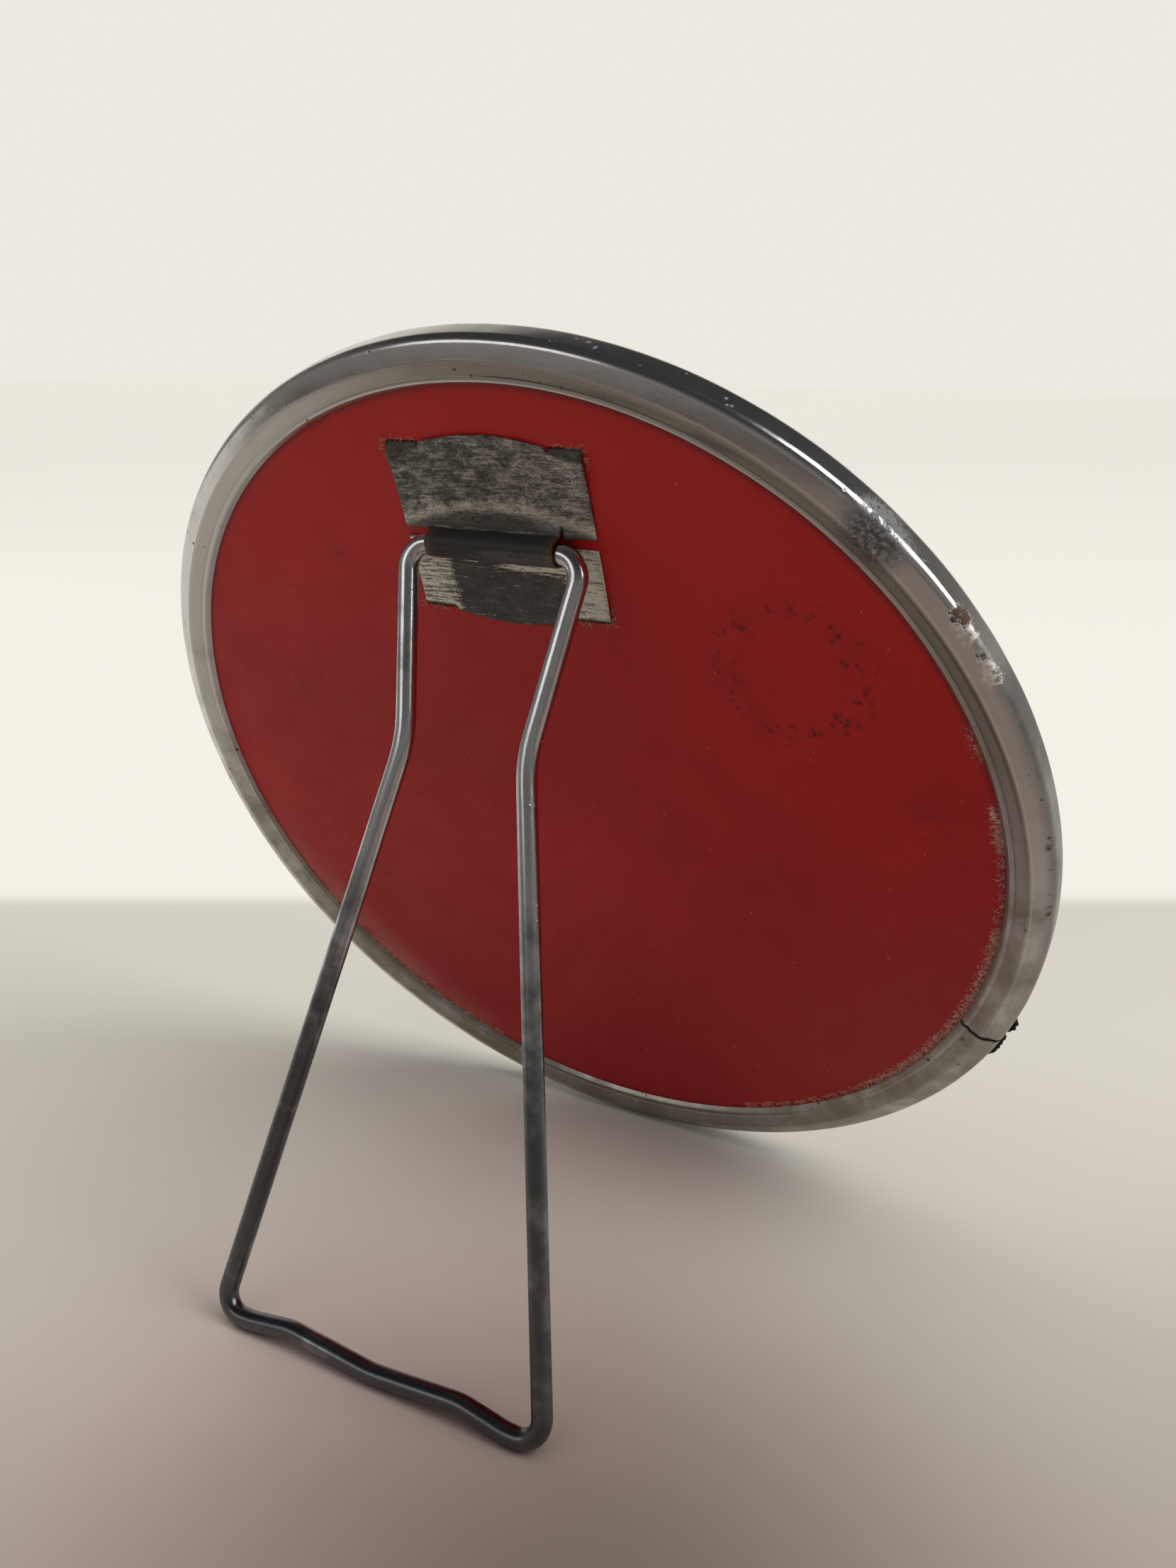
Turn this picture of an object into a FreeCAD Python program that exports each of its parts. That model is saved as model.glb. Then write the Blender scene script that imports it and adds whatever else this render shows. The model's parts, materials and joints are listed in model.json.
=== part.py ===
"""Round easel-back display plaque: a glazed disc held in a rolled metal rim, with a red back board,
a tinplate hinge plate and a bent-wire stand that swings on it.  Millimetres, +Z up, standing on z = 0.

Disc frame, used by every piece that leans with the disc: x across, y up the disc, z through the disc
towards its front, with z = 0 on the outside of the paper that covers the back board.
"""
import FreeCAD, Part
import math
import os

import Sketcher

SIZES = (
    # the disc and how it stands
    ("disc_diameter", 152.0),
    ("lean_angle", 20.0),
    ("stand_angle", 18.2),
    # rolled rim channel
    ("rim_width", 6.6),
    ("rim_sheet", 0.4),
    ("crest_height", 1.45),
    ("crown_radius", 4.0),
    ("shoulder_drop", 1.3),
    ("shoulder_radius", 1.6),
    ("lip_radius", 1.2),
    ("lip_slope_run", 0.8),
    ("lip_slope_rise", 1.0),
    ("seam_gap_angle", 0.2),
    ("seam_angle", 204.5),
    ("tag_reach", 0.9),
    ("tag_sheet", 0.6),
    ("upper_tag", 2.6),
    ("lower_tag", 5.4),
    # what the channel grips, from back to front
    ("paper_thickness", 0.2),
    ("board_thickness", 1.5),
    ("packing_thickness", 0.4),
    ("card_thickness", 0.3),
    ("glass_thickness", 2.0),
    ("edge_clearance", 0.2),
    ("bend_clearance", 0.4),
    # tinplate hinge plate
    ("plate_width", 31.2),
    ("plate_sheet", 0.35),
    ("plate_to_rim", 8.4),
    ("hinge_offset", 0.9),
    ("upper_leaf", 14.4),
    ("lower_leaf", 11.6),
    ("leaf_crown", 1.5),
    ("prong_width", 5.1),
    ("prong_clinch", 2.4),
    ("slot_clearance", 0.15),
    ("slit_above", 1.55),
    ("slit_below", 0.1),
    ("barrel_length", 20.8),
    ("barrel_height", 2.2),
    ("ridge_radius", 1.6),
    ("crease_radius", 0.4),
    ("leaf_sweep", 1.6),
    # bent-wire stand
    ("wire_diameter", 3.0),
    ("hinge_clearance", 0.08),
    ("wire_gap", 0.8),
    ("barrel_end_play", 0.1),
    ("waist_half", 10.1),
    ("waist_drop", 28.2),
    ("foot_half", 28.4),
    ("bend_radius", 3.3),
    ("waist_radius", 20.0),
    ("foot_wave", 1.2),
    ("wave_half", 15.0),
    ("wave_run", 7.5),
    ("wave_radius", 12.0),
)


# shares of other sizes that shape the bends
LIP_SPREAD, LIP_SINK = 0.6, 0.2      # the inner skin's last bend: in and down, in sheet thicknesses
CROWN_SHARE = 0.8                    # the plate's end bow, against the bow that would just reach its corners
RIDGE_LEAN = 0.25                    # mm by which the barrel's upper side leans out
RIDGE_FOOT = 0.3                     # where that side starts to sweep out, as a share of the barrel's height
BEND_RUN = 1.2                       # run that the wire's first bend takes, in bend radii
TAG_OUTLINE = ((0.12, 0.0), (0.2, 1.0), (0.7, 0.8), (1.0, 0.0))   # (share of its run, share of its reach)


class Size:
    """A length or a count, kept both as a number and as the sheet formula that gives it."""

    def __init__(self, value, formula):
        self.value = value
        self.formula = formula

    @staticmethod
    def of(other):
        return other if isinstance(other, Size) else Size(float(other), repr(float(other)))

    def _join(self, other, sign, value):
        return Size(value, "(%s %s %s)" % (self.formula, sign, Size.of(other).formula))

    def __add__(self, other):
        return self._join(other, "+", self.value + Size.of(other).value)

    def __sub__(self, other):
        return self._join(other, "-", self.value - Size.of(other).value)

    def __mul__(self, other):
        return self._join(other, "*", self.value * Size.of(other).value)

    def __truediv__(self, other):
        return self._join(other, "/", self.value / Size.of(other).value)

    def __neg__(self):
        return Size(-self.value, "(0 - %s)" % self.formula)


def make_sheet(doc):
    """Write the driving sizes into the sheet and return them by name."""
    sheet = doc.addObject("Spreadsheet::Sheet", "Sizes")
    for row, (alias, value) in enumerate(SIZES, 1):
        sheet.set("A%d" % row, alias)
        sheet.set("B%d" % row, repr(value))
        sheet.setAlias("B%d" % row, alias)
    doc.recompute()
    return {alias: Size(float(sheet.get(alias)), "Sizes.%s" % alias) for alias, _ in SIZES}


# ---------------------------------------------------------------- sketch helpers

def plane_of(body, role):
    return next(f for f in body.Origin.OriginFeatures if f.Role == role)


def sketch_on(body, role, name, offset=None):
    """A sketch on one of the body's own origin planes, moved out along that plane's normal by offset."""
    sketch = body.newObject("Sketcher::SketchObject", name)
    sketch.AttachmentSupport = [(plane_of(body, role), "")]
    sketch.MapMode = "FlatFace"
    if offset is not None:
        sketch.AttachmentOffset = FreeCAD.Placement(FreeCAD.Vector(0, 0, offset.value), FreeCAD.Rotation())
        sketch.setExpression("AttachmentOffset.Base.z", offset.formula)
    return sketch


def bind(sketch, constraint, size):
    """Add a dimension to the sketch and tie it to the sheet."""
    index = sketch.addConstraint(constraint)
    sketch.setExpression("Constraints[%d]" % index, size.formula)


def fix_point(sketch, geometry, point, x, y):
    """Hold a point at (x, y) from the sketch's origin."""
    for kind, axis_line, size in (("DistanceX", -2, x), ("DistanceY", -1, y)):
        if abs(size.value) < 1e-9:
            sketch.addConstraint(Sketcher.Constraint("PointOnObject", geometry, point, axis_line))
        else:
            bind(sketch, Sketcher.Constraint(kind, -1, 1, geometry, point, size.value), size)


def fillet_points(before, corner, after, radius):
    """Where a round of this radius touches the two sides of a corner, and the middle of its arc."""
    back = (before - corner).normalize()
    ahead = (after - corner).normalize()
    half = back.getAngle(ahead) / 2
    reach = radius / math.tan(half)
    toward = (back + ahead).normalize()
    centre = corner + toward * (radius / math.sin(half))
    return corner + back * reach, centre - toward * radius, corner + ahead * reach


def draw_path(sketch, corners, closed):
    """Straight runs between corners (x, y, radius), rounded where a corner has a radius.

    Each corner is held by the sheet: a sharp one at the end of its runs, a rounded one by a
    construction point that both its runs aim at.
    """
    spots = [FreeCAD.Vector(x.value, y.value, 0) for x, y, _ in corners]
    count = len(corners)
    rounds = {}
    for i, (_, _, radius) in enumerate(corners):
        if radius is not None:
            rounds[i] = fillet_points(spots[i - 1], spots[i], spots[(i + 1) % count], radius.value)
    runs = []
    for i in range(count if closed else count - 1):
        j = (i + 1) % count
        start = rounds[i][2] if i in rounds else spots[i]
        end = rounds[j][0] if j in rounds else spots[j]
        runs.append(sketch.addGeometry(Part.LineSegment(start, end), False))
    for i, (x, y, radius) in enumerate(corners):
        run_in = runs[i - 1] if (closed or i > 0) else None
        run_out = runs[i] if i < len(runs) else None
        if radius is None:
            if run_in is not None and run_out is not None:
                sketch.addConstraint(Sketcher.Constraint("Coincident", run_in, 2, run_out, 1))
            held = (run_out, 1) if run_out is not None else (run_in, 2)
            fix_point(sketch, held[0], held[1], x, y)
            continue
        # a sketch arc runs anticlockwise, so at a right turn it starts on the run that leaves the corner
        turn = (spots[i] - spots[i - 1]).cross(spots[(i + 1) % count] - spots[i]).z
        in_end, out_end = (1, 2) if turn > 0 else (2, 1)
        arc = sketch.addGeometry(Part.Arc(*(rounds[i] if turn > 0 else rounds[i][::-1])), False)
        sketch.addConstraint(Sketcher.Constraint("Tangent", run_in, 2, arc, in_end))
        sketch.addConstraint(Sketcher.Constraint("Tangent", run_out, 1, arc, out_end))
        bind(sketch, Sketcher.Constraint("Radius", arc, radius.value), radius)
        aim = sketch.addGeometry(Part.Point(spots[i]), True)
        fix_point(sketch, aim, 1, x, y)
        sketch.addConstraint(Sketcher.Constraint("PointOnObject", aim, 1, run_in))
        sketch.addConstraint(Sketcher.Constraint("PointOnObject", aim, 1, run_out))


def draw_circle(sketch, radius, x=None, y=None):
    zero = Size(0.0, "0")
    x, y = x or zero, y or zero
    circle = sketch.addGeometry(Part.Circle(FreeCAD.Vector(x.value, y.value, 0),
                                            FreeCAD.Vector(0, 0, 1), radius.value), False)
    fix_point(sketch, circle, 3, x, y)
    bind(sketch, Sketcher.Constraint("Radius", circle, radius.value), radius)


def draw_box(sketch, left, right, low, high):
    """A rectangle given by its four sides."""
    corners = [(left, low), (right, low), (right, high), (left, high)]
    draw_path(sketch, [(x, y, None) for x, y in corners], True)


def pad(body, sketch, name, length, midplane=False, reverse=False):
    feature = body.newObject("PartDesign::Pad", name)
    feature.Profile = sketch
    feature.Length = length.value
    feature.setExpression("Length", length.formula)
    feature.Midplane = midplane
    feature.Reversed = reverse
    return feature


def new_body(doc, name):
    body = doc.addObject("PartDesign::Body", name)
    body.Label = name
    return body


# ---------------------------------------------------------------- rim

def rim_section(s, inside):
    """Half of the channel's outline, from the middle of its outer wall over the crest to the lip.

    inside = 0 gives the outer skin; the sheet thickness gives the inner one, which keeps the same
    bends and only moves in by the sheet.
    """
    outer = s["disc_diameter"] / 2 - inside
    grip = stack_half(s)
    lip = s["disc_diameter"] / 2 - s["rim_width"]
    crest = grip + s["crest_height"] - inside
    return [
        (outer, crest - s["shoulder_drop"], s["shoulder_radius"] - inside),
        (s["disc_diameter"] / 2 - s["rim_width"] / 2, crest, s["crown_radius"] - inside),
        (lip + s["lip_slope_run"] + inside * LIP_SPREAD, grip + s["lip_slope_rise"] - inside * LIP_SINK,
         s["lip_radius"] - inside),
        (lip + inside, grip, None),
    ]


def stack_half(s):
    """Half the thickness of what the channel grips."""
    total = s["paper_thickness"] + s["board_thickness"] + s["packing_thickness"]
    return (total + s["card_thickness"] + s["glass_thickness"]) / 2


def make_rim(doc, s):
    """C-shaped channel rolled round the disc, butted at a seam, with a torn solder tag on each side of it."""
    body = new_body(doc, "rim_channel")
    outer = rim_section(s, Size(0.0, "0"))
    inner = rim_section(s, s["rim_sheet"])
    zero = Size(0.0, "0")
    radius = s["disc_diameter"] / 2
    corners = [(radius, zero, None)] + outer + inner[::-1] + [(radius - s["rim_sheet"], zero, None)]
    section = sketch_on(body, "XZ_Plane", "rim_section")
    draw_path(section, corners, True)
    ring = body.newObject("PartDesign::Revolution", "rim_half")
    ring.Profile = section
    ring.ReferenceAxis = (section, ["V_Axis"])
    ring.Midplane = True
    ring.Angle = 360 - s["seam_gap_angle"].value
    ring.setExpression("Angle", "360 - Sizes.seam_gap_angle")
    doc.recompute()
    both = body.newObject("PartDesign::Mirrored", "rim_both_halves")
    both.Originals = [ring]
    both.MirrorPlane = (plane_of(body, "XY_Plane"), [""])
    body.Tip = both
    doc.recompute()
    # what is left of a solder tag on each side of the seam, torn down to a low ragged lug
    bite = s["rim_sheet"] / 2
    for name, run, way in (("upper_tag", s["upper_tag"], 1), ("lower_tag", s["lower_tag"], -1)):
        tag = sketch_on(body, "XY_Plane", name)
        draw_path(tag, [
            (-(radius + s["tag_reach"] * out) if out else bite - radius, run * along * way, None)
            for along, out in TAG_OUTLINE
        ], True)
        pad(body, tag, name + "_sheet", s["tag_sheet"], midplane=True)
    return body


# ---------------------------------------------------------------- what the rim grips

def layer_levels(s):
    """Distance of each layer's back face from z = 0 of the disc frame."""
    levels = {}
    depth = Size(0.0, "0")
    for name in ("paper", "board", "packing", "card", "glass"):
        levels[name] = depth
        depth = depth + s[name + "_thickness"]
    return levels


def layer_radius(s):
    """The layers sit inside the channel's outer wall, clear of the bends at its shoulders."""
    return s["disc_diameter"] / 2 - s["rim_sheet"] - s["edge_clearance"] - s["bend_clearance"]


def prong_places(s):
    """(side, which leaf, fold line y) of the four prongs, from the hinge axis."""
    return [(side, leaf, fold)
            for leaf, fold in ((1, s["upper_leaf"]), (-1, -s["lower_leaf"]))
            for side in (-1, 1)]


def prong_span(s, side, spare):
    """Left and right of a prong, widened by spare at both ends."""
    outer = s["plate_width"] / 2 + spare
    inner = s["plate_width"] / 2 - s["prong_width"] - spare
    return (inner, outer) if side > 0 else (-outer, -inner)


def hinge_y(s):
    """Height of the hinge axis above the disc's centre: the plate's crown stays clear of the rim's lip."""
    lip = s["disc_diameter"] / 2 - s["rim_width"]
    return lip - s["plate_to_rim"] - s["upper_leaf"]


def make_layer(doc, s, name, layer, slot_reach):
    """A round sheet; slot_reach says how far its four prong openings run under the hinge plate."""
    body = new_body(doc, name)
    sketch = sketch_on(body, "XY_Plane", name + "_outline", layer_levels(s)[layer])
    draw_circle(sketch, layer_radius(s))
    if slot_reach is not None:
        spare = s["slot_clearance"]
        for side, leaf, fold in prong_places(s):
            left, right = (s["hinge_offset"] + edge for edge in prong_span(s, side, spare))
            outward = hinge_y(s) + fold + spare * leaf
            inward = hinge_y(s) + fold - (slot_reach + spare) * leaf
            low, high = (inward, outward) if leaf > 0 else (outward, inward)
            draw_box(sketch, left, right, low, high)
    pad(body, sketch, name + "_sheet", s[layer + "_thickness"])
    return body


# ---------------------------------------------------------------- hinge plate

def plate_outline(s):
    """The flat plate, with its slits, its crowned ends and a straight fold line at each prong."""
    half = s["plate_width"] / 2
    notch = half - s["prong_width"]
    slit = s["barrel_length"] / 2
    top, bottom = s["upper_leaf"], -s["lower_leaf"]
    above, below = s["slit_above"], -s["slit_below"]
    crown = s["leaf_crown"]
    bow = notch * notch / (crown * 2) * CROWN_SHARE
    right = [
        (half, top, None), (half, above, None), (slit, above, None), (slit, below, None),
        (half, below, None), (half, bottom, None), (notch, bottom, None),
    ]
    left = [(-x, y, r) for x, y, r in right[::-1]]
    zero = Size(0.0, "0")
    return ([(zero, top + crown * 2, bow), (notch, top, None)] + right
            + [(zero, bottom - crown * 2, bow)] + left + [(-notch, top, None)])


def barrel_outline(s, inside):
    """Side view of the raised barrel: y across, z into the board, open towards the board.

    inside = 0 gives the outer skin, the sheet thickness the inner one.
    """
    outer = s["wire_diameter"] / 2 + s["hinge_clearance"] + s["plate_sheet"] - inside
    crest = -(s["barrel_height"] + outer)
    sweep = s["leaf_sweep"]
    zero = Size(0.0, "0")
    return [
        (-outer, zero, None),
        (-outer, crest, outer),
        (outer, crest, s["ridge_radius"] - inside),
        (outer + RIDGE_LEAN, crest * RIDGE_FOOT, s["crease_radius"] + inside),
        (outer + sweep, zero, None),
    ]


def make_hinge_plate(doc, s):
    """Tinplate plate: two leaves, a barrel raised between their slits, and four clinched prongs."""
    body = new_body(doc, "hinge_plate")
    outline = sketch_on(body, "XY_Plane", "plate_outline")
    draw_path(outline, plate_outline(s), True)
    pad(body, outline, "plate_leaves", s["plate_sheet"], reverse=True)
    doc.recompute()
    skin = sketch_on(body, "YZ_Plane", "barrel_outside")
    draw_path(skin, barrel_outline(s, Size(0.0, "0")), True)
    pad(body, skin, "barrel_block", s["barrel_length"], midplane=True)
    doc.recompute()
    hollow = sketch_on(body, "YZ_Plane", "barrel_inside")
    draw_path(hollow, barrel_outline(s, s["plate_sheet"]), True)
    cut = body.newObject("PartDesign::Pocket", "barrel_hollow")
    cut.Profile = hollow
    cut.Midplane = True
    cut.Length = s["barrel_length"].value
    cut.setExpression("Length", s["barrel_length"].formula)
    doc.recompute()
    levels = layer_levels(s)
    leg = levels["packing"] + s["plate_sheet"]
    for index, (side, leaf, fold) in enumerate(prong_places(s)):
        left, right = prong_span(s, side, Size(0.0, "0"))
        stem = sketch_on(body, "XY_Plane", "prong_stem_%d" % index)
        edge = fold - s["plate_sheet"] * leaf
        draw_box(stem, left, right, *((edge, fold) if leaf > 0 else (fold, edge)))
        pad(body, stem, "prong_leg_%d" % index, leg)
        foot = sketch_on(body, "XY_Plane", "prong_foot_%d" % index, levels["packing"])
        end = fold - s["prong_clinch"] * leaf
        draw_box(foot, left, right, *((end, fold) if leaf > 0 else (fold, end)))
        pad(body, foot, "prong_fold_%d" % index, s["plate_sheet"])
    return body


# ---------------------------------------------------------------- wire stand

def stand_length(s, axis_height):
    """Axis to foot along the stand, so that its foot bar lies on the floor."""
    return (axis_height - s["wire_diameter"].value / 2) / math.cos(math.radians(s["stand_angle"].value))


def make_wire(doc, s, length):
    """One length of round wire: its two ends meet inside the barrel, and its foot bar is slightly waved."""
    body = new_body(doc, "wire_bail")
    zero = Size(0.0, "0")
    bend = s["bend_radius"]
    # the wire is straight until it has left the barrel, then bends
    shoulder_half = s["barrel_length"] / 2 + s["barrel_end_play"] + bend * BEND_RUN
    right = [
        (s["wire_gap"] / 2, zero, None),
        (shoulder_half, zero, bend),
        (s["waist_half"], -s["waist_drop"], s["waist_radius"]),
        (s["foot_half"], -length, bend),
        (s["wave_half"] + s["wave_run"], -length, s["wave_radius"]),
        (s["wave_half"], s["foot_wave"] - length, s["wave_radius"]),
    ]
    left = [(-x, y, r) for x, y, r in right[::-1]]
    path = sketch_on(body, "XY_Plane", "wire_path")
    draw_path(path, right + [(zero, -length, s["waist_radius"])] + left, False)
    section = sketch_on(body, "YZ_Plane", "wire_section", s["wire_gap"] / 2)
    draw_circle(section, s["wire_diameter"] / 2)
    pipe = body.newObject("PartDesign::AdditivePipe", "wire")
    pipe.Profile = section
    pipe.Spine = path
    return body


# ---------------------------------------------------------------- standing it up

def tilt(degrees):
    """Turn about the x axis."""
    return FreeCAD.Rotation(FreeCAD.Vector(1, 0, 0), degrees)


def shift(x, y, z, rotation=None):
    return FreeCAD.Placement(FreeCAD.Vector(x, y, z), rotation or FreeCAD.Rotation())


def extent(shape):
    return shape.optimalBoundingBox(False, False)


def check(doc, pieces):
    """Stop if any object failed or any piece is empty or broken."""
    for item in doc.Objects:
        if "Invalid" in item.State or "Error" in item.State:
            raise RuntimeError("%s failed: %s" % (item.Label, item.State))
    for piece in pieces:
        if piece.Shape.isNull() or not piece.Shape.isValid():
            raise RuntimeError("%s has no valid shape" % piece.Label)


def main():
    doc = FreeCAD.newDocument("plaque")
    s = make_sheet(doc)

    rim = make_rim(doc, s)
    paper = make_layer(doc, s, "cover_paper", "paper", s["plate_sheet"])
    board = make_layer(doc, s, "back_board", "board", s["plate_sheet"])
    packing = make_layer(doc, s, "packing_sheet", "packing", s["prong_clinch"])
    card = make_layer(doc, s, "printed_card", "card", None)
    glass = make_layer(doc, s, "face_glass", "glass", None)
    plate = make_hinge_plate(doc, s)
    doc.recompute()
    check(doc, [rim, paper, board, packing, card, glass, plate])

    # the rim's own frame has z = 0 halfway through the stack and its seam along -x
    rim_in_disc = shift(0, 0, stack_half(s).value,
                        FreeCAD.Rotation(FreeCAD.Vector(0, 0, 1), s["seam_angle"].value - 180))
    lean = tilt(90 - s["lean_angle"].value)
    leaning_rim = extent(rim.Shape.transformed((shift(0, 0, 0, lean) * rim_in_disc).toMatrix(), True))
    axis = lean.multVec(FreeCAD.Vector(0, hinge_y(s).value, -s["barrel_height"].value))
    axis_height = axis.z - leaning_rim.ZMin
    length = stand_length(s, axis_height)
    foot_out = length * math.sin(math.radians(s["stand_angle"].value))
    foot_reach = axis.y + foot_out + s["wire_diameter"].value / 2
    disc = shift(0, -(foot_reach + leaning_rim.YMin) / 2, -leaning_rim.ZMin, lean)

    # the stand's length follows from where the hinge stands, so it is the sheet's one worked-out cell
    sheet = doc.getObject("Sizes")
    row = len(SIZES) + 1
    sheet.set("A%d" % row, "stand_length")
    sheet.set("B%d" % row, repr(length))
    sheet.setAlias("B%d" % row, "stand_length")
    doc.recompute()
    wire = make_wire(doc, s, Size(length, "Sizes.stand_length"))
    doc.recompute()

    rim.Placement = disc * rim_in_disc
    for piece in (paper, board, packing, card, glass):
        piece.Placement = disc
    plate.Placement = disc * shift(s["hinge_offset"].value, hinge_y(s).value, 0)
    hinge_point = disc.multVec(FreeCAD.Vector(s["hinge_offset"].value, hinge_y(s).value,
                                              -s["barrel_height"].value))
    wire.Placement = FreeCAD.Placement(hinge_point, tilt(90 + s["stand_angle"].value))
    doc.recompute()

    pieces = [rim, glass, card, packing, board, paper, plate, wire]
    check(doc, pieces)
    os.makedirs("parts", exist_ok=True)
    for piece in pieces:
        piece.Shape.exportStep(os.path.join("parts", piece.Label + ".step"))
    print("hinge axis (mm): y %.4f z %.4f, stand length %.3f" % (hinge_point.y, hinge_point.z, length))


main()
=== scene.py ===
import json
import math

import bmesh
import bpy
from mathutils import Matrix, Vector, noise


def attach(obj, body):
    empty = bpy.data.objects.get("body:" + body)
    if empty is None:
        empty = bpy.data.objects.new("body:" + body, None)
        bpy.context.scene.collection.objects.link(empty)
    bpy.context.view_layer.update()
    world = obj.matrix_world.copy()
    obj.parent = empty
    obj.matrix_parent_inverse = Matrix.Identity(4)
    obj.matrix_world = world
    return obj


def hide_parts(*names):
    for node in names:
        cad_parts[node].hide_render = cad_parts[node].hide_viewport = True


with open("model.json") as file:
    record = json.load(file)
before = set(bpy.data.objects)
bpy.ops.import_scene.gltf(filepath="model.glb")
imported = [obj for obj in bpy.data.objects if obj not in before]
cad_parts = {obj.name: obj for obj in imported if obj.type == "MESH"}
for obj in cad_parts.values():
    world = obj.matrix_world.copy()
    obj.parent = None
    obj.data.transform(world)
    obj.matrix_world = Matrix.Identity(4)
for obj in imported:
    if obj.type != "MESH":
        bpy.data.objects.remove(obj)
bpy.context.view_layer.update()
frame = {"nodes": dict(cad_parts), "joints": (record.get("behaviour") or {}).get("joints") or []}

# ---------------------------------------------------------------- sizes, in millimetres unless said
MM = 0.001
LEAN = math.radians(20)            # how far the disc leans back
DISC_RADIUS = 76.0
STACK_HALF = 2.2                   # half of paper, board, packing, card and glass together

RIM_WIDTH, RIM_SHEET = 6.6, 0.4
RIM_SPARE = 0.03                   # the rim's path runs this far inside the disc's edge
CREST_HEIGHT, CREST_INSET = 1.45, 3.3
CREST_BOW, CREST_RADIUS = 0.05, 1.3
SHOULDER_DROP, SHOULDER_RADIUS = 1.3, 1.6
# bends of the outer skin at the lip: in from the lip's edge, below the crest, radius, and then
# how far the inner skin moves each of the three, in thicknesses of the sheet
LIP_BENDS = (
    (1.55, 0.60, 1.2, 0.5, 0.0, 0.0),
    (1.25, 0.80, 0.22, 1.0, 0.0, 0.0),
    (0.65, 0.66, 0.5, 0.8, 0.2, -0.4),
)
LIP_SPARE = 0.02                   # between the lip and the paper

SEAM_ANGLE = math.radians(204.5)   # from +x, turning towards the top of the disc
SEAM_GAP = math.radians(0.3)
TEAR_RUN = 1.0                     # how far from the seam the rim's ends are ragged
TAG_REACH, TAG_SHEET, TAG_ROOT = 0.9, 0.4, 0.25
# angle where each tag starts, its run along the rim, its height, and the seed of its torn edge
TAGS = ((SEAM_ANGLE + 0.007, 5.4, 1.25, 3.0), (SEAM_ANGLE - 0.009, -3.0, 1.15, 8.0))

HINGE_X, HINGE_Y, HINGE_OUT = 0.9, 46.6, 2.2   # the pin, from the disc's centre and off the paper
PLATE_HALF, PLATE_SHEET = 15.6, 0.35
SLIT_ABOVE, SLIT_BELOW = 1.55, 0.1
BARREL_HALF, BARREL_RADIUS = 10.4, 1.93
# the barrel's upper ridge: its round, how far its side leans out, and where that ends as a share of height
RIDGE_RADIUS, RIDGE_LEAN, RIDGE_FOOT = 1.6, 0.25, 0.3
LEAF_SWEEP, LEAF_SWEEP_RADIUS = 1.6, 0.75   # the curve from the barrel's upper side out to the leaf
LEAF_CROWN = 1.5
CURL_HEIGHT, CURL_X, CURL_Y = 0.55, 11.2, 1.5   # corners lifted beside the barrel, from the pin
# the two leaves, by the way each runs from the pin: +1 up the disc, -1 down it
LEAF_EDGE = {1: 14.4, -1: 11.6}
FOLD_RUN = 0.8                     # how far from the edge the leaf starts to roll, at a prong's inner end
FOLD_MORE = {1: 1.0, -1: 0.3}      # what is added to that at the plate's outer edge
FOLD_LIFT = {1: 0.42, -1: 0.12}    # how far the leaf stands off there before it rolls
PRONG_LEG = 1.3                    # straight part of a prong, down in its slot

WIRE_RADIUS, WIRE_GAP, WIRE_SPARE = 1.5, 0.8, 0.01
BEND_RADIUS, LEG_TOP = 3.3, 14.46               # each leg's first corner, out along the pin
WAIST_HALF, WAIST_DROP, WAIST_RADIUS = 10.1, 28.2, 20.0
FOOT_HALF = 28.4
# the foot bar rises in its middle: half its flat top, the run up to it, how high and how round
WAVE_HALF, WAVE_RUN, WAVE_HEIGHT, WAVE_RADIUS = 15.0, 7.5, 1.2, 12.0
STAND_ANGLE = math.radians(18.2)

HEADING = Vector((0.4815, -0.8764, 0))   # the way the camera looks, along the floor
BACKDROP_START, BACKDROP_BLEND = 0.129, 0.012  # where the lit backdrop begins along it, in metres

PIN = Vector(frame["joints"][0]["pos_m"])
LEAN_TURN = Matrix.Rotation(math.pi / 2 - LEAN, 4, "X")
DISC_CENTRE = PIN - (LEAN_TURN @ Vector((HINGE_X, HINGE_Y, -HINGE_OUT))) * MM
DISC_TO_WORLD = Matrix.Translation(DISC_CENTRE) @ LEAN_TURN @ Matrix.Scale(MM, 4)
PLATE_TO_WORLD = DISC_TO_WORLD @ Matrix.Translation((HINGE_X, HINGE_Y, 0))
STAND_TO_WORLD = (Matrix.Translation(PIN) @ Matrix.Rotation(math.pi / 2 + STAND_ANGLE, 4, "X")
                  @ Matrix.Scale(MM, 4))
# the foot bar's centre line lies one wire radius above the floor
STAND_LENGTH = (PIN.z / MM - WIRE_RADIUS) / math.cos(STAND_ANGLE)


# ---------------------------------------------------------------- shader helper

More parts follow.
